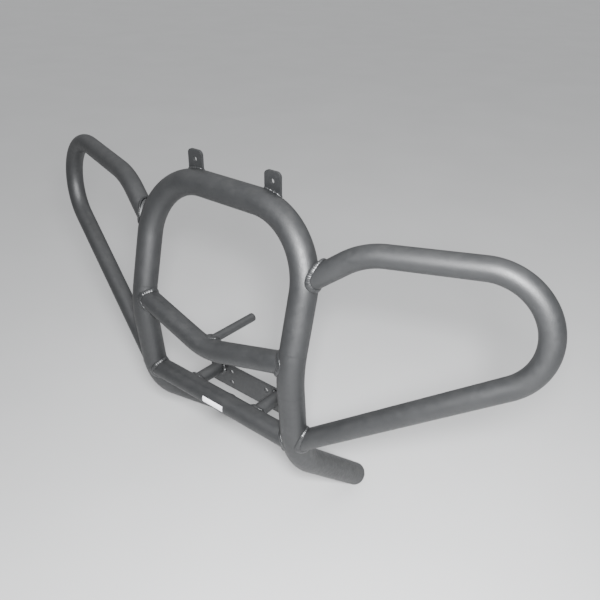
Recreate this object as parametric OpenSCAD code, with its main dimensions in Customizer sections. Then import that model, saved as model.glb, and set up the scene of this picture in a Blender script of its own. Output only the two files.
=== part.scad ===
// Front grille guard: a bent-tube bumper with a tall centre hoop and a looped wing on each side.
// +Z is up and the guard faces -Y. The origin is the middle of the mounting plate's rear face.

/* [Tube sizes] */
// Outer diameter of the centre hoop tube
hoop_d = 44.45; // [40:0.05:48]
// Outer diameter of the two crossbars
bar_d = 38.1; // [34:0.05:40]
// Outer diameter of the wing tubes
wing_d = 34.93; // [32:0.05:38]
// Outer diameter of the two lower struts
strut_d = 25.4; // [20:0.05:27]
// Outer diameter of the upper stay
stay_d = 15.88; // [14:0.01:18]
// Wall thickness of the hoop, crossbar, wing and strut tubes
wall = 2.4; // [2:0.1:4]

/* [Centre hoop] */
// Distance between the hoop's two legs, centre to centre
leg_spacing = 354.4; // [340:0.2:370]
// Height of the top tube's centre above the lower bend
hoop_h = 416.7; // [400:0.1:440]
// How far the top tube sits behind the lower bend
top_back = 43.6; // [30:0.1:60]
// Height of the slight bend in each leg above the lower bend
waist_h = 176.9; // [150:0.1:180]
// How far the waist stands ahead of the lower bend
waist_fwd = 14.75; // [10:0.05:20]
// Angle below horizontal at which the lower ends run back
tail_angle = 43.2; // [38:0.1:48]
// Length of each lower end, from the bend's corner point
tail_len = 258; // [200:1:280]
// Centreline bend radius of the top corners
top_bend_r = 115.9; // [100:0.1:125]
// Centreline bend radius of the waist
waist_bend_r = 227; // [180:1:250]
// Centreline bend radius of the lower bend
knee_bend_r = 147.2; // [120:0.1:160]

/* [Crossbars] */
// Height of the upper crossbar's ends above the lower bend
upper_bar_z = 192.3; // [185:0.1:200]
// How far the middle of the upper crossbar hangs below its ends
upper_bar_drop = 40.7; // [30:0.1:50]
// How far the middle of the upper crossbar stands ahead of its ends
upper_bar_bow = 14; // [8:0.1:20]
// Centreline bend radius of the upper crossbar
upper_bar_bend_r = 143; // [120:1:160]
// Height of the lower crossbar above the lower bend
lower_bar_z = 32.4; // [30:0.1:36]

/* [Wings] */
// Height at which each wing leaves the leg, above the lower bend
wing_root_z = 322; // [310:0.5:330]
// Height at which each wing returns to the leg, above the lower bend
wing_foot_z = 30.3; // [28:0.1:34]
// Sideways distance from the guard's middle to the wing's first corner
wing_shoulder_x = 262.7; // [255:0.1:275]
// Height of the wing's first corner above the lower bend
wing_shoulder_z = 387.2; // [380:0.1:395]
// Sideways distance from the guard's middle to the wing's outer corner point
wing_tip_x = 773.3; // [750:0.1:800]
// Height of the wing's outer corner point above the lower bend
wing_tip_z = 437.7; // [430:0.1:445]
// Centreline bend radius of the wing's shoulder
wing_shoulder_r = 123.9; // [100:0.1:130]
// Centreline bend radius of the wing's outer return
wing_tip_r = 88.9; // [80:0.1:95]

/* [Mounting] */
// Length of the mounting plate
plate_w = 200; // [196:1:220]
// Height of the mounting plate
plate_h = 50; // [50:1:60]
// Thickness of the mounting plate
plate_t = 5; // [4:0.5:8]
// Diameter of the mounting plate's bolt holes
plate_hole_d = 10.5; // [9:0.5:11]
// Sideways distance between bolt holes
plate_hole_x = 90; // [80:1:96]
// Vertical distance between bolt holes
plate_hole_z = 24; // [20:1:28]
// Distance of each lower strut from the guard's middle
strut_x = 76; // [74:0.5:80]
// Height of the upper stay above the lower bend
stay_z = 165.5; // [163:0.5:166]
// How far the upper stay reaches behind the mounting face
stay_back = 12; // [5:0.5:30]
// Diameter of the drilled hole in the upper stay's end plug
stay_hole_d = 6.8; // [5:0.1:8.4]
// Distance of each rack tab from the guard's middle
tab_x = 85; // [60:1:100]
// Width of each rack tab
tab_w = 32; // [28:1:36]
// Height of each rack tab above the top tube
tab_h = 28; // [24:1:40]
// Thickness of each rack tab
tab_t = 4.8; // [4:0.1:6]
// Diameter of the hole in each rack tab
tab_hole_d = 8.5; // [6.5:0.5:10.5]

/* [Welds and label] */
// Leg length of each weld bead
bead = 3.6; // [3.5:0.1:3.7]
// Leg length of the heavier weld round the upper stay
stay_bead = 5; // [4:0.5:5.5]
// Length of the blank label
label_w = 50; // [30:1:80]
// Thickness of the blank label
label_t = 0.3; // [0.3:0.1:0.6]

/* [Hidden] */
$fn = 96;

// Fit-up gap left between one piece and the next
gap = 0.05;
// How far a tube's straights run on into its bends
overlap = 1;
// How much thinner a bent stretch is at its outside and at its bore
bend_thin = 0.1;
// Depth of the discs that close the tube ends
cap_t = 3;
// Depth of the plug in the upper stay
plug_t = 20;
// How far along a tube its weld ring may lie
ring_reach = 80;
// How far a cutting solid runs past what it cuts
clear = 10;
// Radii of the tubes
hoop_r = hoop_d / 2;
bar_r = bar_d / 2;
wing_r = wing_d / 2;
strut_r = strut_d / 2;
stay_r = stay_d / 2;

// The lower bend's corner point, measured from the mounting plate
leg_x = leg_spacing / 2;
knee_y = -78;
knee_z = -20;

// Corner points of the right leg, from the top corner to the open lower end
top_pt = [leg_x, knee_y + top_back, knee_z + hoop_h];
waist_pt = [leg_x, knee_y - waist_fwd, knee_z + waist_h];
knee_pt = [leg_x, knee_y, knee_z];
tail_dir = [0, cos(tail_angle), -sin(tail_angle)];
end_pt = knee_pt + tail_len * tail_dir;
leg_pts = [top_pt, waist_pt, knee_pt, end_pt];
leg_bends = [waist_bend_r, knee_bend_r];
hoop_pts = concat([for (i = [3:-1:0]) flip(leg_pts[i])], leg_pts);
hoop_bends = [
    knee_bend_r, waist_bend_r, top_bend_r, top_bend_r, waist_bend_r, knee_bend_r
];

// Crossbars
upper_bar_end = leg_at(knee_z + upper_bar_z);
upper_bar_mid = [0, upper_bar_end.y - upper_bar_bow, upper_bar_end.z - upper_bar_drop];
upper_bar_pts = [flip(upper_bar_end), upper_bar_mid, upper_bar_end];
lower_bar_end = leg_at(knee_z + lower_bar_z);

// Each wing lies in one flat plane, swept back towards its tip and its top
wing_sweep_x = 0.217;
wing_sweep_z = 0.08;
wing_root = leg_at(knee_z + wing_root_z);
wing_shoulder = on_wing(wing_shoulder_x, wing_shoulder_z);
wing_tip = on_wing(wing_tip_x, wing_tip_z);
wing_foot = leg_at(knee_z + wing_foot_z);
wing_pts = [wing_root, wing_shoulder, wing_tip, wing_foot];
wing_bends = [wing_shoulder_r, wing_tip_r];

// Struts and stay
plate_front = -plate_t;
strut_front = [strut_x, lower_bar_end.y, lower_bar_end.z];
strut_rear = [strut_x, plate_front - gap, lower_bar_end.z];
stay_front = [0, upper_bar_mid.y, knee_z + stay_z];
stay_rear = [0, stay_back, knee_z + stay_z];
tab_y = top_pt.y + hoop_r / 2;

function unit(v) = v / norm(v);
function flip(p) = [-p.x, p.y, p.z];
function turn(a, b, c) = acos(unit(b - a) * unit(c - b));
function trim(pts, bends, i) = bends[i - 1] * tan(turn(pts[i - 1], pts[i], pts[i + 1]) / 2);
// The leg's straight centreline at height z
function leg_at(z) =
    let (
        a = z > waist_pt.z ? top_pt : waist_pt,
        b = z > waist_pt.z ? waist_pt : knee_pt
    )
    b + (a - b) * (z - b.z) / (a.z - b.z);
// A point of the wing's plane, which passes through the leg at the wing's foot
function on_wing(x, z) = [
    x,
    leg_at(knee_z + wing_foot_z).y + wing_sweep_x * (x - leg_x) + wing_sweep_z * (z - wing_foot_z),
    knee_z + z
];

// Cross-section of a tube; bore 0 makes it solid
module section(r, bore) {
    if (bore > 0) {
        difference() {
            circle(r);
            circle(bore);
        }
    } else {
        circle(r);
    }
}

// Straight length of tube from a to b
module straight(a, b, r, bore = 0) {
    v = b - a;
    translate(a)
        rotate([0, acos(v.z / norm(v)), atan2(v.y, v.x)])
            linear_extrude(norm(v))
                section(r, bore);
}

// Bend of radius big_r at corner b, between a and c
module bend(a, b, c, big_r, r, bore = 0) {
    u = unit(b - a);
    w = unit(c - b);
    inward = unit(w - (w * u) * u);
    angle = turn(a, b, c);
    centre = b - big_r * tan(angle / 2) * u + big_r * inward;
    axis = cross(u, inward);
    multmatrix([
        [-inward.x, u.x, axis.x, centre.x],
        [-inward.y, u.y, axis.y, centre.y],
        [-inward.z, u.z, axis.z, centre.z],
        [0, 0, 0, 1]
    ])
        rotate_extrude(angle = angle)
            translate([big_r, 0])
                section(r, bore);
}

// Tube that follows the corner points, with a bend at each inner one.
// Each bend is drawn slightly thinner than the straights that run on over its ends.
module bent_tube(pts, bends, r, bore = 0) {
    last = len(pts) - 1;
    for (i = [0:last - 1]) {
        d = unit(pts[i + 1] - pts[i]);
        a = i == 0 ? pts[0] : pts[i] + d * (trim(pts, bends, i) - overlap);
        b = i == last - 1 ? pts[last] : pts[i + 1] - d * (trim(pts, bends, i + 1) - overlap);
        straight(a, b, r, bore);
        if (i > 0)
            bend(pts[i - 1], pts[i], pts[i + 1], bends[i - 1], r - bend_thin,
                bore > 0 ? bore + bend_thin : 0);
    }
}

module mirrored() {
    mirror([1, 0, 0])
        children();
}

// Filled right leg, grown by g, which the other tubes' ends are cut to fit
module leg_body(g) {
    bent_tube(leg_pts, leg_bends, hoop_r + g);
}

// Filled top of the hoop, grown by g, which the rack tabs are cut to fit
module hoop_top_body(g) {
    bent_tube([flip(top_pt), top_pt, waist_pt], [top_bend_r], hoop_r + g);
}

module lower_bar_body(g) {
    straight(flip(lower_bar_end), lower_bar_end, bar_r + g);
}

module upper_bar_body(g) {
    bent_tube(upper_bar_pts, [upper_bar_bend_r], bar_r + g);
}

module main_hoop() {
    color("#1d1e20")
        bent_tube(hoop_pts, hoop_bends, hoop_r, hoop_r - wall);
}

module hoop_end_cap_right() {
    color("#1d1e20")
        straight(end_pt - cap_t * tail_dir, end_pt, hoop_r - wall - gap);
}

module hoop_end_cap_left() {
    mirrored()
        hoop_end_cap_right();
}

module upper_crossbar() {
    color("#1d1e20")
        difference() {
            bent_tube(upper_bar_pts, [upper_bar_bend_r], bar_r, bar_r - wall);
            leg_body(gap);
            mirrored()
                leg_body(gap);
        }
}

module lower_crossbar() {
    color("#1d1e20")
        difference() {
            straight(flip(lower_bar_end), lower_bar_end, bar_r, bar_r - wall);
            leg_body(gap);
            mirrored()
                leg_body(gap);
        }
}

module wing_right() {
    color("#1d1e20")
        difference() {
            bent_tube(wing_pts, wing_bends, wing_r, wing_r - wall);
            leg_body(gap);
        }
}

module wing_left() {
    mirrored()
        wing_right();
}

module lower_strut_right() {
    color("#1d1e20")
        difference() {
            straight(strut_front, strut_rear, strut_r, strut_r - wall);
            lower_bar_body(gap);
        }
}

module lower_strut_left() {
    mirrored()
        lower_strut_right();
}

module mounting_plate() {
    corner_r = 8;
    color("#1d1e20")
        difference() {
            rotate([90, 0, 0])
                linear_extrude(plate_t)
                    hull()
                        for (x = [-1, 1], z = [-1, 1])
                            translate([x * (plate_w / 2 - corner_r), z * (plate_h / 2 - corner_r)])
                                circle(corner_r, $fn = 48);
            for (x = [-1, 1], z = [-1, 1])
                translate([x * plate_hole_x / 2, 1, z * plate_hole_z / 2])
                    rotate([90, 0, 0])
                        cylinder(h = plate_t + 2, d = plate_hole_d);
        }
}

module upper_stay() {
    color("#1d1e20")
        difference() {
            straight(stay_front, stay_rear, stay_r, stay_r - wall / 2);
            upper_bar_body(gap);
        }
}

// Solid plug in the stay's rear end, drilled for a thread
module upper_stay_plug() {
    color("#1d1e20")
        difference() {
            straight(stay_rear - [0, plug_t, 0], stay_rear, stay_r - wall / 2 - gap);
            straight(stay_rear - [0, plug_t + 1, 0], stay_rear + [0, 1, 0], stay_hole_d / 2);
        }
}

// Upright tab where the top tube starts to bend down, cut to fit it and drilled for a clamp bolt
module rack_tab_right() {
    corner_r = 8;
    sink = 8;
    tab_top = top_pt.z + hoop_r + tab_h;
    color("#1d1e20")
        difference() {
            translate([tab_x, tab_y + tab_t / 2, 0])
                rotate([90, 0, 0])
                    linear_extrude(tab_t)
                        union() {
                            translate([-tab_w / 2, top_pt.z - sink])
                                square([tab_w, sink + hoop_r + tab_h - corner_r]);
                            hull()
                                for (x = [-1, 1])
                                    translate([x * (tab_w / 2 - corner_r), tab_top - corner_r])
                                        circle(corner_r, $fn = 48);
                        }
            hoop_top_body(gap);
            translate([tab_x, tab_y + tab_t, tab_top - tab_w / 2])
                rotate([90, 0, 0])
                    cylinder(h = 2 * tab_t, d = tab_hole_d);
        }
}

module rack_tab_left() {
    mirrored()
        rack_tab_right();
}

// Thin blank label wrapped on the front of the lower crossbar
module label_blank() {
    wrap = 34;
    middle = -4;
    color("#f2f0f2")
        translate([-label_w / 2, lower_bar_end.y, lower_bar_end.z])
            rotate([0, 90, 0])
                rotate([0, 0, -90 + middle - wrap / 2])
                    rotate_extrude(angle = wrap)
                        translate([bar_r + gap, 0])
                            square([label_t, label_w]);
}

// Ring of weld where a straight tube of radius r, from a towards b, meets another tube.
// The first child is the other tube grown by the bead, and the second is the tube itself.
module weld_ring(a, b, r) {
    along = unit(b - a);
    color("#141516")
        difference() {
            intersection() {
                straight(a, a + ring_reach * along, r + bead);
                children(0);
            }
            straight(a - clear * along, a + (ring_reach + clear) * along, r + gap);
            children(1);
        }
}

module weld_upper_crossbar_right() {
    weld_ring(upper_bar_end, upper_bar_mid, bar_r) {
        leg_body(bead);
        leg_body(gap);
    }
}

module weld_upper_crossbar_left() {
    mirrored()
        weld_upper_crossbar_right();
}

module weld_lower_crossbar_right() {
    weld_ring(lower_bar_end, flip(lower_bar_end), bar_r) {
        leg_body(bead);
        leg_body(gap);
    }
}

module weld_lower_crossbar_left() {
    mirrored()
        weld_lower_crossbar_right();
}

module weld_wing_upper_right() {
    weld_ring(wing_root, wing_shoulder, wing_r) {
        leg_body(bead);
        leg_body(gap);
    }
}

module weld_wing_upper_left() {
    mirrored()
        weld_wing_upper_right();
}

module weld_wing_lower_right() {
    weld_ring(wing_foot, wing_tip, wing_r) {
        leg_body(bead);
        leg_body(gap);
    }
}

module weld_wing_lower_left() {
    mirrored()
        weld_wing_lower_right();
}

module weld_strut_front_right() {
    weld_ring(strut_front, strut_rear, strut_r) {
        lower_bar_body(bead);
        lower_bar_body(gap);
    }
}

module weld_strut_front_left() {
    mirrored()
        weld_strut_front_right();
}

// The plate's top edge is level with the strut's top, so this ring stops there
module weld_strut_rear_right() {
    color("#141516")
        difference() {
            straight(strut_rear - [0, bead, 0], strut_rear, strut_r + bead);
            straight(strut_rear - [0, 2 * bead, 0], strut_rear + [0, 1, 0], strut_r + gap);
            translate([0, -plate_h, plate_h / 2 - gap])
                cube(2 * plate_h);
        }
}

module weld_strut_rear_left() {
    mirrored()
        weld_strut_rear_right();
}

module weld_upper_stay() {
    color("#141516")
        difference() {
            intersection() {
                straight(stay_front, stay_rear, stay_r + stay_bead);
                upper_bar_body(stay_bead);
            }
            straight(stay_front - [0, clear, 0], stay_rear, stay_r + gap);
            upper_bar_body(gap);
        }
}

main_hoop();
hoop_end_cap_left();
hoop_end_cap_right();
upper_crossbar();
lower_crossbar();
wing_left();
wing_right();
lower_strut_left();
lower_strut_right();
mounting_plate();
upper_stay();
upper_stay_plug();
rack_tab_left();
rack_tab_right();
label_blank();
weld_upper_crossbar_left();
weld_upper_crossbar_right();
weld_lower_crossbar_left();
weld_lower_crossbar_right();
weld_wing_upper_left();
weld_wing_upper_right();
weld_wing_lower_left();
weld_wing_lower_right();
weld_strut_front_left();
weld_strut_front_right();
weld_strut_rear_left();
weld_strut_rear_right();
weld_upper_stay();
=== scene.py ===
"""Front grille guard: looks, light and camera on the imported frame."""

import math

import bpy
from mathutils import Matrix, Vector


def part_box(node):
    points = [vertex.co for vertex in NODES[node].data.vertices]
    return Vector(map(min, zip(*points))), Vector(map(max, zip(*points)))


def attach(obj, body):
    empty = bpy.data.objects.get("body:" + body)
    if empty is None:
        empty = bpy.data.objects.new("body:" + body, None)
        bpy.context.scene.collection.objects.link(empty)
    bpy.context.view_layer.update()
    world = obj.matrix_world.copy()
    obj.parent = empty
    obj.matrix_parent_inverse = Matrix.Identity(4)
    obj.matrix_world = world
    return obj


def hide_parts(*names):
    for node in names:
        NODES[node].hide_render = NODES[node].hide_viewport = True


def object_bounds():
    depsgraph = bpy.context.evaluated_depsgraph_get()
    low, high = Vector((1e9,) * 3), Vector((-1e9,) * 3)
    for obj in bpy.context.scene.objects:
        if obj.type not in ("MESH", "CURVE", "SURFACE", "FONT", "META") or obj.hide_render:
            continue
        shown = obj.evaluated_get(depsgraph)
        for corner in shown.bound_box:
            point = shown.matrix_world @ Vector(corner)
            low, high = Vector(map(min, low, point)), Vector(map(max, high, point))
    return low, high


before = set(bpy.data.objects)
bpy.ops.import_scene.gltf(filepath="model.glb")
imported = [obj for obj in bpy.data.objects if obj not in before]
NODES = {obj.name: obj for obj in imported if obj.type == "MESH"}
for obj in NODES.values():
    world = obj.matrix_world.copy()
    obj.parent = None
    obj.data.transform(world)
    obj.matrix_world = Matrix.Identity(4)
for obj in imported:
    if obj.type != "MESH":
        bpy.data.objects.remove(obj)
cad_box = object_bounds()

# Driving dimensions, in metres, as the frame has them
HOOP_R = 0.022225
BAR_R = 0.01905
WING_R = 0.017465
STRUT_R = 0.0127
STAY_R = 0.00794
WALL = 0.0024
LEG_X = 0.1772
KNEE = Vector((LEG_X, -0.078, -0.020))
WAIST = KNEE + Vector((0, -0.01475, 0.1769))
TOP = KNEE + Vector((0, 0.0436, 0.4167))
TAIL_ANGLE = math.radians(43.2)
TAIL = KNEE + 0.258 * Vector((0, math.cos(TAIL_ANGLE), -math.sin(TAIL_ANGLE)))
WAIST_BEND, KNEE_BEND, TOP_BEND = 0.227, 0.1472, 0.1159
UPPER_BAR_Z, LOWER_BAR_Z, STAY_Z = 0.1923, 0.0324, 0.1655
UPPER_BAR_BEND = 0.143
UPPER_BAR_FORWARD, UPPER_BAR_DROP = 0.014, 0.0407
WING_BENDS = [0.1239, 0.0889]
WING_TOP_Z, WING_FOOT_Z = 0.322, 0.0303
WING_SWEEP, WING_LEAN = 0.217, 0.08
STRUT_X = 0.076
PLATE_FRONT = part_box("mounting_plate")[0].y
STAY_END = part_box("upper_stay")[1].y


def flip(p):
    """The same point on the other side of the guard."""
    return Vector((-p.x, p.y, p.z))


def leg_at(z):
    """The leg's straight centreline at height z above the lower bend."""
    low, high = (WAIST, TOP) if KNEE.z + z > WAIST.z else (KNEE, WAIST)
    return low.lerp(high, (KNEE.z + z - low.z) / (high.z - low.z))


def on_wing(x, z):
    """A point of the wing's flat, swept-back plane."""
    y = leg_at(WING_FOOT_Z).y + WING_SWEEP * (x - LEG_X) + WING_LEAN * (z - WING_FOOT_Z)
    return Vector((x, y, KNEE.z + z))


UPPER_BAR_END = leg_at(UPPER_BAR_Z)
UPPER_BAR_MID = Vector(
    (0, UPPER_BAR_END.y - UPPER_BAR_FORWARD, UPPER_BAR_END.z - UPPER_BAR_DROP)
)
LOWER_BAR_END = leg_at(LOWER_BAR_Z)
STRUT_FRONT = Vector((STRUT_X, LOWER_BAR_END.y, LOWER_BAR_END.z))
STAY_FRONT = Vector((0, UPPER_BAR_MID.y, KNEE.z + STAY_Z))

# Corner points of each tube, with the bend radius at each inner corner
LEG = ([TOP, WAIST, KNEE, TAIL], [WAIST_BEND, KNEE_BEND])
HOOP = (
    [flip(TAIL), flip(KNEE), flip(WAIST), flip(TOP), TOP, WAIST, KNEE, TAIL],
    [KNEE_BEND, WAIST_BEND, TOP_BEND, TOP_BEND, WAIST_BEND, KNEE_BEND],
)
# The hoop's two waist bends show the die's mark at each end
MARKED_BENDS = (2, 5)
HOOP_TOP = ([flip(TOP), TOP, WAIST], [TOP_BEND])
UPPER_BAR = ([flip(UPPER_BAR_END), UPPER_BAR_MID, UPPER_BAR_END], [UPPER_BAR_BEND])
LOWER_BAR = ([flip(LOWER_BAR_END), LOWER_BAR_END], [])
WING = (
    [leg_at(WING_TOP_Z), on_wing(0.2627, 0.3872), on_wing(0.7733, 0.4377), leg_at(WING_FOOT_Z)],
    WING_BENDS,
)
STRUT = ([STRUT_FRONT, Vector((STRUT_FRONT.x, PLATE_FRONT, STRUT_FRONT.z))], [])
STAY = ([STAY_FRONT, Vector((0, STAY_END, STAY_FRONT.z))], [])


# ---------------------------------------------------------------- materials


class Nodes:
    """Small helper that adds and links shader nodes."""

    def __init__(self, name):
        self.material = bpy.data.materials.new(name)
        self.material.use_nodes = True
        self.tree = self.material.node_tree
        self.tree.nodes.clear()
        self.surface = self.add("ShaderNodeBsdfPrincipled")
        output = self.add("ShaderNodeOutputMaterial")
        self.link(self.surface.outputs["BSDF"], output.inputs["Surface"])
        self.place = self.add("ShaderNodeTexCoord").outputs["Object"]

    def add(self, kind, **values):
        node = self.tree.nodes.new(kind)
        for key, value in values.items():
            setattr(node, key, value)
        return node

    def link(self, a, b):
        self.tree.links.new(a, b)

    def noise(self, scale, detail=3.0, roughness=0.5):
        node = self.add("ShaderNodeTexNoise")
        node.inputs["Scale"].default_value = scale
        node.inputs["Detail"].default_value = detail
        node.inputs["Roughness"].default_value = roughness
        self.link(self.place, node.inputs["Vector"])
        return node.outputs["Fac"]

    def span(self, value, low, high, out_low, out_high):
        """The value's stretch from low to high, turned into out_low to out_high."""
        node = self.add("ShaderNodeMapRange")
        self.link(value, node.inputs["Value"])
        for key, number in (
            ("From Min", low),
            ("From Max", high),
            ("To Min", out_low),
            ("To Max", out_high),
        ):
            node.inputs[key].default_value = number
        return node.outputs["Result"]

    def times(self, a, b):
        node = self.add("ShaderNodeMath", operation="MULTIPLY")
        self.link(a, node.inputs[0])
        self.link(b, node.inputs[1])
        return node.outputs[0]

    def mix(self, factor, a, b):
        """Colour a where factor is 0, and b where it is 1. Either is a colour or a socket."""
        node = self.add("ShaderNodeMix", data_type="RGBA")
        self.link(factor, node.inputs["Factor"])
        for key, value in (("A", a), ("B", b)):
            socket = next(s for s in node.inputs if s.name == key and s.type == "RGBA")
            if isinstance(value, tuple):
                socket.default_value = (*value, 1)
            else:
                self.link(value, socket)
        return next(s for s in node.outputs if s.type == "RGBA")

    def bump(self, height, distance, strength=1.0, under=None):
        node = self.add("ShaderNodeBump")
        node.inputs["Strength"].default_value = strength
        node.inputs["Distance"].default_value = distance
        self.link(height, node.inputs["Height"])
        if under is not None:
            self.link(under, node.inputs["Normal"])
        return node.outputs["Normal"]


def facing_up(m):
    """1 on surfaces that face up, 0 on those that face sideways or down."""
    geometry = m.add("ShaderNodeNewGeometry")
    split = m.add("ShaderNodeSeparateXYZ")
    m.link(geometry.outputs["Normal"], split.inputs["Vector"])
    return m.span(split.outputs["Z"], 0.1, 1.0, 0.0, 1.0)


def powder_coat(name, base, lighter, roughness, grain):
    """Satin powder coat: fine orange peel, faint mottling, and a film of dust on top."""
    m = Nodes(name)
    mottled = m.mix(m.span(m.noise(22, 4), 0.35, 0.7, 0, 1), base, lighter)
    dust_patches = m.span(m.noise(60, 6, 0.65), 0.42, 0.75, 0.0, 0.03)
    dusty = m.mix(m.times(facing_up(m), dust_patches), mottled, (0.30, 0.29, 0.27))
    specks = m.span(m.noise(900, 2), 0.72, 0.76, 0.0, 0.12)
    m.link(m.mix(specks, dusty, (0.22, 0.22, 0.22)), m.surface.inputs["Base Color"])
    rough = m.span(m.noise(140, 5), 0.3, 0.7, roughness - 0.05, roughness + 0.06)
    m.link(rough, m.surface.inputs["Roughness"])
    peel = m.bump(m.noise(650, 2), 0.00022, grain)
    m.link(m.bump(m.noise(1700, 2), 0.00011, grain, peel), m.surface.inputs["Normal"])
    m.surface.inputs["Specular IOR Level"].default_value = 0.65
    return m.material


def vinyl():
    """Matte white label film with a faint print-side grain and scuffs."""
    m = Nodes("label_vinyl")
    tone = m.mix(m.span(m.noise(90, 5), 0.3, 0.75, 0, 1), (0.86, 0.85, 0.88), (0.74, 0.73, 0.76))
    m.link(tone, m.surface.inputs["Base Color"])
    rough = m.span(m.noise(300, 3), 0.3, 0.7, 0.32, 0.48)
    m.link(rough, m.surface.inputs["Roughness"])
    m.link(m.bump(m.noise(700, 2), 0.0001, 0.4), m.surface.inputs["Normal"])
    return m.material


def floor_paint():
    """Pale studio floor with very faint variation."""
    m = Nodes("studio_floor")
    tone = m.mix(m.span(m.noise(3, 4), 0.3, 0.7, 0, 1), (0.46, 0.46, 0.457), (0.44, 0.44, 0.437))
    m.link(tone, m.surface.inputs["Base Color"])
    m.surface.inputs["Roughness"].default_value = 0.7
    return m.material


def dress(obj, material):
    """Gives every face of the object this one material."""
    obj.data.materials.clear()
    obj.data.materials.append(material)


# ---------------------------------------------------------- tubes' shapes


def new_mesh(name, verts, faces, material):
    mesh = bpy.data.meshes.new(name)
    mesh.from_pydata([tuple(v) for v in verts], [], faces)
    mesh.polygons.foreach_set("use_smooth", [True] * len(faces))
    mesh.update()
    obj = bpy.data.objects.new(name, mesh)
    bpy.context.scene.collection.objects.link(obj)
    dress(obj, material)
    return obj


class Ring:
    """A place on a tube's centreline, its heading there, and how deep the tube is marked."""

    def __init__(self, point, heading, groove=0.0):
        self.point = point
        self.heading = heading
        self.groove = groove


# The faint mark that a bending die leaves at each end of a bend
DIE_MARK_DEPTH = 0.0002
DIE_MARK_WIDTH = 0.0009
DIE_MARK_SPACING = 0.0005
DIE_MARK_MIDDLE = 6
DIE_MARK_RINGS = [k * DIE_MARK_SPACING for k in range(-DIE_MARK_MIDDLE, DIE_MARK_MIDDLE + 1)]
# How far apart rings stand round a bend, in the piece itself and in the surface others are cut to
BEND_STEP, SURFACE_STEP = 0.004, 0.006
MIN_BEND_RINGS = 8


def die_mark(middle, heading):
    """Close rings across one end of a bend, with a shallow groove in the middle."""
    rings = []
    for offset in DIE_MARK_RINGS:
        depth = DIE_MARK_DEPTH * math.exp(-((offset / DIE_MARK_WIDTH) ** 2))
        rings.append(Ring(middle + offset * heading, heading, depth))
    return rings


def centreline(corners, bends, step=BEND_STEP, marked=()):
    """Rings along a tube: its ends, round each bend, and at the ends of the marked bends."""
    rings = [Ring(corners[0], (corners[1] - corners[0]).normalized())]
    for i, radius in enumerate(bends, 1):
        u = (corners[i] - corners[i - 1]).normalized()
        w = (corners[i + 1] - corners[i]).normalized()
        angle = u.angle(w)
        inward = (w - w.dot(u) * u).normalized()
        trim = radius * math.tan(angle / 2)
        centre = corners[i] - trim * u + radius * inward
        start, end = corners[i] - trim * u, corners[i] + trim * w
        count = max(MIN_BEND_RINGS, int(radius * angle / step))
        # Only the half of the groove that lies on the straight is made
        rings += die_mark(start, u)[: DIE_MARK_MIDDLE + 1] if i in marked else [Ring(start, u)]
        for k in range(1, count):
            a = angle * k / count
            heading = math.cos(a) * u + math.sin(a) * inward
            away = math.sin(a) * u - math.cos(a) * inward
            rings.append(Ring(centre + radius * away, heading))
        rings += die_mark(end, w)[DIE_MARK_MIDDLE:] if i in marked else [Ring(end, w)]
    rings.append(Ring(corners[-1], (corners[-1] - corners[-2]).normalized()))
    return rings


def nearest_on(path, p):
    """The point of the path that is nearest to p."""
    best, gap = None, 1e9
    for a, b in zip(path, path[1:]):
        d = b - a
        t = min(1, max(0, (p - a).dot(d) / d.length_squared))
        q = a + t * d
        if (p - q).length < gap:
            best, gap = q, (p - q).length
    return best


def tube_surface(tube, radius):
    """How far a point is outside a tube, and the tube's outward direction there."""
    path = [ring.point for ring in centreline(*tube, step=SURFACE_STEP)]

    def measure(p):
        away = p - nearest_on(path, p)
        return away.length - radius, away.normalized()

    return measure


def mirrored_surface(surface):
    """The same surface on the other side of the guard."""

    def measure(p):
        distance, outward = surface(flip(p))
        return distance, flip(outward)

    return measure


def straight_surface(start, along, radius):
    """The same for a straight tube of any length."""

    def measure(p):
        away = p - start - (p - start).dot(along) * along
        return away.length - radius, away.normalized()

    return measure


def flat_surface(place, outward):
    """The same for a flat face."""

    def measure(p):
        return (p - place).dot(outward), outward

    return measure


REACH_START = 0.1
REACH_STEPS = 80
REACH_CLOSE = 1e-7


def reach(origin, along, surface):
    """How far a line from inside the other piece runs before it leaves its surface."""
    run = REACH_START
    for _ in range(REACH_STEPS):
        gap = surface(origin + run * along)[0]
        run -= gap
        if abs(gap) < REACH_CLOSE:
            break
    return run


# ------------------------------------------------------------------- tubes

AROUND = 72
# How far a coped end runs on under its weld, and how far along the rings beyond it stand
TUCK = 0.0006
EASE = 0.002
# How deep the bore behind each rounded lip runs, to the cap or the plug
HOOP_BORE_DEPTH = 0.0031
STAY_BORE_DEPTH = 0.0201


def open_end(radius, wall, depth):
    """A tube's open end: how far back each ring of its rounded lip stands, and its radius."""
    bore = radius - wall
    return [
        (0.004, radius),
        (0.0012, radius),
        (0.0005, radius - 0.08 * wall),
        (0.0001, radius - 0.3 * wall),
        (0.0, bore + 0.25 * wall),
        (0.0004, bore),
        (depth, bore),
    ]


def closed_end(radius):
    """A tube's square end, hidden against another piece."""
    return [(0.004, radius), (0.00005, radius)]


def across(rings):
    """Two directions across the tube at each ring, carried along without twist."""
    side = rings[0].heading.orthogonal().normalized()
    pairs = []
    for before, ring in zip([rings[0]] + rings, rings):
        side = side.copy()
        side.rotate(before.heading.rotation_difference(ring.heading))
        side = (side - side.dot(ring.heading) * ring.heading).normalized()
        pairs.append((side, ring.heading.cross(side)))
    return pairs


def circle(centre, radius, pair):
    """The points round a tube at one ring."""
    side, other = pair
    points = []
    for k in range(AROUND):
        a = 2 * math.pi * k / AROUND
        points.append(centre + radius * (math.cos(a) * side + math.sin(a) * other))
    return points


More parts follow.
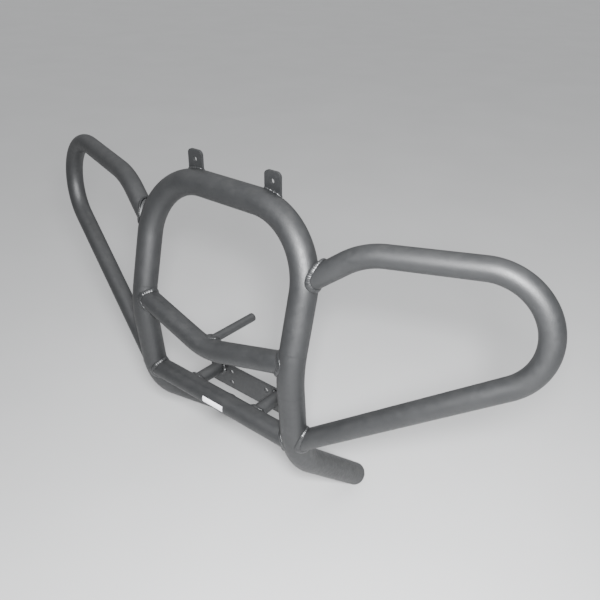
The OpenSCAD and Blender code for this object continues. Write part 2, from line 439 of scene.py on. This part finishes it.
def coped_end(row, point, along, surface):
    """Rings of an end that is cut to fit another piece, from the tip inwards, and its middle."""
    runs = [reach(p, along, surface) for p in row]
    tip = [p + (run - TUCK) * along for p, run in zip(row, runs)]
    near = [p + (run + EASE) * along for p, run in zip(row, runs)]
    level = [p + (max(runs) + 2 * EASE) * along for p in row]
    return [tip, near, level], point + (min(runs) - EASE) * along


def shaped_end(rings, pair, point, along):
    """Rings of an end given by how far back each one stands, and its middle."""
    rows = [circle(point + back * along, radius, pair) for back, radius in reversed(rings)]
    return rows, point + rings[-1][0] * along


def tube_mesh(tube, radius, start, end, marked=()):
    """A tube's points and faces. Each end is another piece's surface, or the end's own rings."""
    rings = centreline(*tube, marked=marked)
    pairs = across(rings)
    rows = [circle(g.point, radius - g.groove, pair) for g, pair in zip(rings, pairs)]
    ends = []
    for which, cut, sign in ((0, start, 1), (-1, end, -1)):
        point, along = rings[which].point, sign * rings[which].heading
        if callable(cut):
            ends.append(coped_end(rows[which], point, along, cut))
        else:
            ends.append(shaped_end(cut, pairs[which], point, along))
    rows = ends[0][0] + rows[1:-1] + ends[1][0][::-1]
    verts = [p for row in rows for p in row] + [ends[0][1], ends[1][1]]
    faces = []
    for i in range(len(rows) - 1):
        for k in range(AROUND):
            m = (k + 1) % AROUND
            here, there = i * AROUND, (i + 1) * AROUND
            faces.append((here + k, here + m, there + m, there + k))
    low, last = len(verts) - 2, (len(rows) - 1) * AROUND
    for k in range(AROUND):
        m = (k + 1) % AROUND
        faces.append((low, m, k))
        faces.append((low + 1, last + k, last + m))
    return verts, faces


def inside_out(verts, faces):
    """Whether a closed shape's faces point inwards."""
    volume = 0
    for face in faces:
        a = verts[face[0]]
        for j in range(1, len(face) - 1):
            volume += a.dot(verts[face[j]].cross(verts[face[j + 1]]))
    return volume < 0


def place(name, shape, material, slot, node=None, mirrored=False):
    """Adds a piece of the guard, on the other side if mirrored."""
    verts, faces = shape
    if mirrored:
        verts = [flip(p) for p in verts]
    if inside_out(verts, faces):
        faces = [tuple(reversed(face)) for face in faces]
    piece = new_mesh(name, verts, faces, material)
    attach(piece, "root")
    if node:
        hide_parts(node)
    return piece


def tubes(material):
    """Every tube of the guard, its ends cut to fit the tube that it is welded to."""
    leg = tube_surface(LEG, HOOP_R)
    lip = open_end(HOOP_R, WALL, HOOP_BORE_DEPTH)
    hoop = tube_mesh(HOOP, HOOP_R, lip, lip, MARKED_BENDS)
    place("tube_hoop", hoop, material, "powder_coat", "main_hoop")
    for name, tube in (("upper_crossbar", UPPER_BAR), ("lower_crossbar", LOWER_BAR)):
        shape = tube_mesh(tube, BAR_R, mirrored_surface(leg), leg)
        place(f"tube_{name}", shape, material, "powder_coat", name)
    lower_bar = tube_surface(LOWER_BAR, BAR_R)
    wing = tube_mesh(WING, WING_R, leg, leg)
    strut = tube_mesh(STRUT, STRUT_R, lower_bar, closed_end(STRUT_R))
    for side in ("right", "left"):
        for name, shape in (("wing", wing), ("lower_strut", strut)):
            node = f"{name}_{side}"
            place(f"tube_{node}", shape, material, "powder_coat", node, side == "left")
    upper_bar = tube_surface(UPPER_BAR, BAR_R)
    stay = tube_mesh(STAY, STAY_R, upper_bar, open_end(STAY_R, WALL / 2, STAY_BORE_DEPTH))
    place("tube_upper_stay", stay, material, "powder_coat", "upper_stay")


# ------------------------------------------------------------- weld beads

# A weld's length along each piece that it joins, its crown, and its ripples
BEAD_LEG = 0.0046
BEAD_CROWN = 0.0011
RIPPLE = 0.0031
RIPPLE_DEPTH = 0.00026
BEAD_STEP = 0.00045
# How deep the weld's edge is sunk in each piece
TOE_DEPTH = 0.00015
ROOT_DEPTH = 0.0012
FACE_POINTS = 13
# Shorter or longer legs at the thinner pieces
STRUT_REAR_LEG = 0.004
STAY_LEG = 0.0055
TAB_LEG = 0.0036
THIN_TUBE_LEG = 0.36
# How far below the plate's top edge the rear strut welds stop
SEAM_CLEAR = 0.003


def joint_curve(start, along, radius, surface):
    """Where a tube's outside meets the surface: places and both outward directions."""
    side = along.orthogonal().normalized()
    other = along.cross(side)
    count = int(2 * math.pi * radius / BEAD_STEP)
    ring = []
    for i in range(count):
        a = 2 * math.pi * i / count
        out = math.cos(a) * side + math.sin(a) * other
        p = start + radius * out
        p = p + reach(p, along, surface) * along
        ring.append((p, out, surface(p)[1]))
    return ring


def toe(p, tangent, outward, other_outward, leg, surface):
    """The weld's edge on one piece: a leg's length from the joint, settled on its surface."""
    away = tangent.cross(outward).normalized()
    if away.dot(other_outward) < 0:
        away = -away
    q = p + leg * away
    distance, normal = surface(q)
    return q - (distance + TOE_DEPTH) * normal


def bead_mesh(ring, closed, branch, main, leg=BEAD_LEG):
    """A weld's points and faces: a low crowned face with overlapping ripples."""
    count = len(ring)
    runs = [0.0]
    for i in range(1, count):
        runs.append(runs[-1] + (ring[i][0] - ring[i - 1][0]).length)
    length = runs[-1] + ((ring[0][0] - ring[-1][0]).length if closed else 0)
    waves = max(1, round(length / RIPPLE))
    verts, faces = [], []
    for i, (p, out, normal) in enumerate(ring):
        after = ring[(i + 1) % count][0] if closed or i < count - 1 else p
        before = ring[i - 1][0] if closed or i else p
        tangent = (after - before).normalized()
        up = (out + normal).normalized()
        turn = 2 * math.pi * runs[i] / length
        size = 1 + 0.07 * math.sin(5 * turn + 1) + 0.05 * math.sin(13 * turn)
        drift = 0.22 * math.sin(4 * turn) + 0.13 * math.sin(11 * turn + 2)
        relief = RIPPLE_DEPTH * (1 + 0.5 * math.sin(7 * turn + 0.6))
        if not closed:
            rest = min(1, min(runs[i], length - runs[i]) / leg)
            size *= 0.15 + 0.85 * math.sqrt(1 - (1 - rest) ** 2)
        a = toe(p, tangent, out, normal, size * leg, branch)
        b = toe(p, tangent, normal, out, size * leg, main)
        for k in range(FACE_POINTS):
            t = k / (FACE_POINTS - 1)
            arch = 4 * t * (1 - t)
            phase = waves * runs[i] / length + drift + 0.42 * (2 * t - 1) ** 2
            ripple = relief * (2 * abs(math.sin(math.pi * phase)) - 1)
            height = size * (BEAD_CROWN + ripple) * arch**0.6
            verts.append(a.lerp(b, t) + height * up)
        verts.append(p - ROOT_DEPTH * up)
    section = FACE_POINTS + 1
    for i in range(count if closed else count - 1):
        j = (i + 1) % count
        for k in range(section):
            m = (k + 1) % section
            faces.append((i * section + k, i * section + m, j * section + m, j * section + k))
    if not closed:
        faces.append(tuple(range(section)))
        faces.append(tuple(reversed(range((count - 1) * section, count * section))))
    return verts, faces


def ring_beads(material):
    """The round welds where one tube meets another, on both sides."""
    leg = tube_surface(LEG, HOOP_R)
    lower_bar = tube_surface(LOWER_BAR, BAR_R)
    wing = WING[0]
    joints = {
        "upper_crossbar": (UPPER_BAR_END, UPPER_BAR_MID, BAR_R, leg),
        "lower_crossbar": (LOWER_BAR_END, flip(LOWER_BAR_END), BAR_R, leg),
        "wing_upper": (wing[0], wing[1], WING_R, leg),
        "wing_lower": (wing[3], wing[2], WING_R, leg),
        "strut_front": (*STRUT[0], STRUT_R, lower_bar),
    }
    for name, (start, towards, radius, surface) in joints.items():
        along = (towards - start).normalized()
        ring = joint_curve(start, along, radius, surface)
        branch = straight_surface(start, along, radius)
        shape = bead_mesh(ring, True, branch, surface, min(BEAD_LEG, THIN_TUBE_LEG * radius))
        for side in ("right", "left"):
            node = f"weld_{name}_{side}"
            place(f"bead_{name}_{side}", shape, material, "weld_bead", node, side == "left")


def plate_and_stay_beads(material):
    """The welds behind the struts, and round the stay."""
    plate_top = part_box("mounting_plate")[1].z
    back = STRUT[0][1]
    forward = Vector((0, -1, 0))
    plate = flat_surface(back, forward)
    ring = joint_curve(back, forward, STRUT_R, plate)
    top = max(range(len(ring)), key=lambda i: ring[i][0].z)
    seam = [spot for spot in ring[top:] + ring[:top] if spot[0].z < plate_top - SEAM_CLEAR]
    branch = straight_surface(back, forward, STRUT_R)
    shape = bead_mesh(seam, False, branch, plate, STRUT_REAR_LEG)
    for side in ("right", "left"):
        node = f"weld_strut_rear_{side}"
        place(f"bead_strut_rear_{side}", shape, material, "weld_bead", node, side == "left")
    bar = tube_surface(UPPER_BAR, BAR_R)
    along = Vector((0, 1, 0))
    ring = joint_curve(STAY_FRONT, along, STAY_R, bar)
    branch = straight_surface(STAY_FRONT, along, STAY_R)
    shape = bead_mesh(ring, True, branch, bar, STAY_LEG)
    place("bead_upper_stay", shape, material, "weld_bead", "weld_upper_stay")


def tab_beads(material):
    """The two welds along the foot of each rack tab, which follow the tube as it bends."""
    hoop_top = tube_surface(HOOP_TOP, HOOP_R)
    rise = Vector((0, 0, 1))
    low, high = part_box("rack_tab_right")
    for face, y, sign in (("front", low.y, -1), ("back", high.y, 1)):
        outward = Vector((0, sign, 0))
        count = int((high.x - low.x) / BEAD_STEP)
        seam = []
        for i in range(count + 1):
            inside = Vector((low.x + (high.x - low.x) * i / count, y, TOP.z))
            foot = inside + reach(inside, rise, hoop_top) * rise
            seam.append((foot, outward, hoop_top(foot)[1]))
        plane = flat_surface(seam[0][0], outward)
        shape = bead_mesh(seam, False, plane, hoop_top, TAB_LEG)
        for side in ("left", "right"):
            name = f"bead_rack_tab_{side}_{face}"
            place(name, shape, material, "weld_bead", mirrored=side == "left")


# The plates' rounded edges: radius, facets, and the sharpest angle that is left alone
EDGE_RADIUS = 0.0006
EDGE_SEGMENTS = 2
EDGE_ANGLE = math.radians(50)
SAME_POINT = 0.000002


def plates(material):
    """The flat plates, each with small rounded edges where the CAD solid's are sharp."""
    for name in ("mounting_plate", "rack_tab_left", "rack_tab_right"):
        solid = NODES[name].data
        verts = [v.co.copy() for v in solid.vertices]
        faces = [tuple(polygon.vertices) for polygon in solid.polygons]
        piece = place(f"steel_{name}", (verts, faces), material, "powder_coat", name)
        piece.data.polygons.foreach_set("use_smooth", [False] * len(faces))
        weld = piece.modifiers.new("join_corners", "WELD")
        weld.merge_threshold = SAME_POINT
        bevel = piece.modifiers.new("edge", "BEVEL")
        bevel.width = EDGE_RADIUS
        bevel.segments = EDGE_SEGMENTS
        bevel.limit_method = "ANGLE"
        bevel.angle_limit = EDGE_ANGLE


# ------------------------------------------------------------ light, camera


# The photograph's viewpoint, solved from the guard's own outline
LENS, SENSOR = 40.16, 36.0
VIEW_ANGLES = (39.36, 28.9, 0.554)
VIEWPOINT = (0.7325, -0.7460, 0.7615)
SKY_LOW, SKY_HIGH = 0.38, 1.3
FLOOR_HALF = 30
FLOOR_GAP = 0.001


def camera():
    """The photograph's viewpoint: in front, to the right and above."""
    data = bpy.data.cameras.new("camera")
    data.lens = LENS
    data.sensor_width = SENSOR
    data.dof.use_dof = False
    obj = bpy.data.objects.new("camera", data)
    bpy.context.scene.collection.objects.link(obj)
    azimuth, elevation, roll = (math.radians(v) for v in VIEW_ANGLES)
    right = Vector((math.cos(azimuth), math.sin(azimuth), 0))
    forward = Vector(
        (
            -math.sin(azimuth) * math.cos(elevation),
            math.cos(azimuth) * math.cos(elevation),
            -math.sin(elevation),
        )
    )
    up = right.cross(forward)
    right, up = (
        math.cos(roll) * right + math.sin(roll) * up,
        math.cos(roll) * up - math.sin(roll) * right,
    )
    turn = Matrix((right, up, -forward)).transposed()
    obj.matrix_world = Matrix.Translation(VIEWPOINT) @ turn.to_4x4()
    bpy.context.scene.camera = obj


def area_light(name, place, target, size, power, color):
    """A rectangular lamp that stands at place and points at target."""
    data = bpy.data.lights.new(name, "AREA")
    data.shape = "RECTANGLE"
    data.size, data.size_y = size
    data.energy = power
    data.color = color
    obj = bpy.data.objects.new(name, data)
    bpy.context.scene.collection.objects.link(obj)
    obj.location = place
    aim = Vector(target) - Vector(place)
    obj.rotation_mode = "QUATERNION"
    obj.rotation_quaternion = aim.to_track_quat("-Z", "Y")


def overcast_sky(low, high):
    """Even light that is faint from the sides and strong from straight above."""
    world = bpy.data.worlds.new("sky")
    bpy.context.scene.world = world
    world.use_nodes = True
    tree = world.node_tree
    direction = tree.nodes.new("ShaderNodeTexCoord")
    split = tree.nodes.new("ShaderNodeSeparateXYZ")
    rise = tree.nodes.new("ShaderNodeMapRange")
    rise.interpolation_type = "SMOOTHSTEP"
    for socket, value in (("From Min", 0.1), ("From Max", 0.95), ("To Min", low), ("To Max", high)):
        rise.inputs[socket].default_value = value
    tree.links.new(direction.outputs["Generated"], split.inputs[0])
    tree.links.new(split.outputs["Z"], rise.inputs["Value"])
    sky = tree.nodes["Background"]
    sky.inputs["Color"].default_value = (0.97, 0.98, 1, 1)
    tree.links.new(rise.outputs["Result"], sky.inputs["Strength"])


def studio():
    """Pale floor under a soft sky, a strong softbox by the camera, and a weak lamp behind."""
    floor_z = cad_box[0].z - FLOOR_GAP
    corners = [(-1, -1), (1, -1), (1, 1), (-1, 1)]
    verts = [Vector((x * FLOOR_HALF, y * FLOOR_HALF, floor_z)) for x, y in corners]
    floor = new_mesh("floor", verts, [(0, 1, 2, 3)], floor_paint())
    overcast_sky(SKY_LOW, SKY_HIGH)
    area_light("front_box", (0.80, -0.76, 0.85), (0.46, 0, 0.26), (0.2, 0.2), 84, (0.97, 0.98, 1))
    area_light("overhead", (0.6, 2.0, 2.6), (0.1, 0.2, 0.1), (1.6, 1.6), 9, (0.99, 0.99, 1))


def main():
    coat = powder_coat("powder_coat", (0.0065, 0.007, 0.0075), (0.0105, 0.011, 0.0115), 0.52, 0.9)
    bead = powder_coat("bead_coat", (0.007, 0.0075, 0.008), (0.011, 0.0115, 0.012), 0.38, 0.25)
    label = vinyl()
    for name, node in NODES.items():
        if name == "label_blank":
            dress(node, label)
        elif name.startswith("weld"):
            dress(node, bead)
        else:
            dress(node, coat)
    tubes(coat)
    ring_beads(bead)
    plate_and_stay_beads(bead)
    tab_beads(bead)
    plates(coat)
    camera()
    studio()


main()
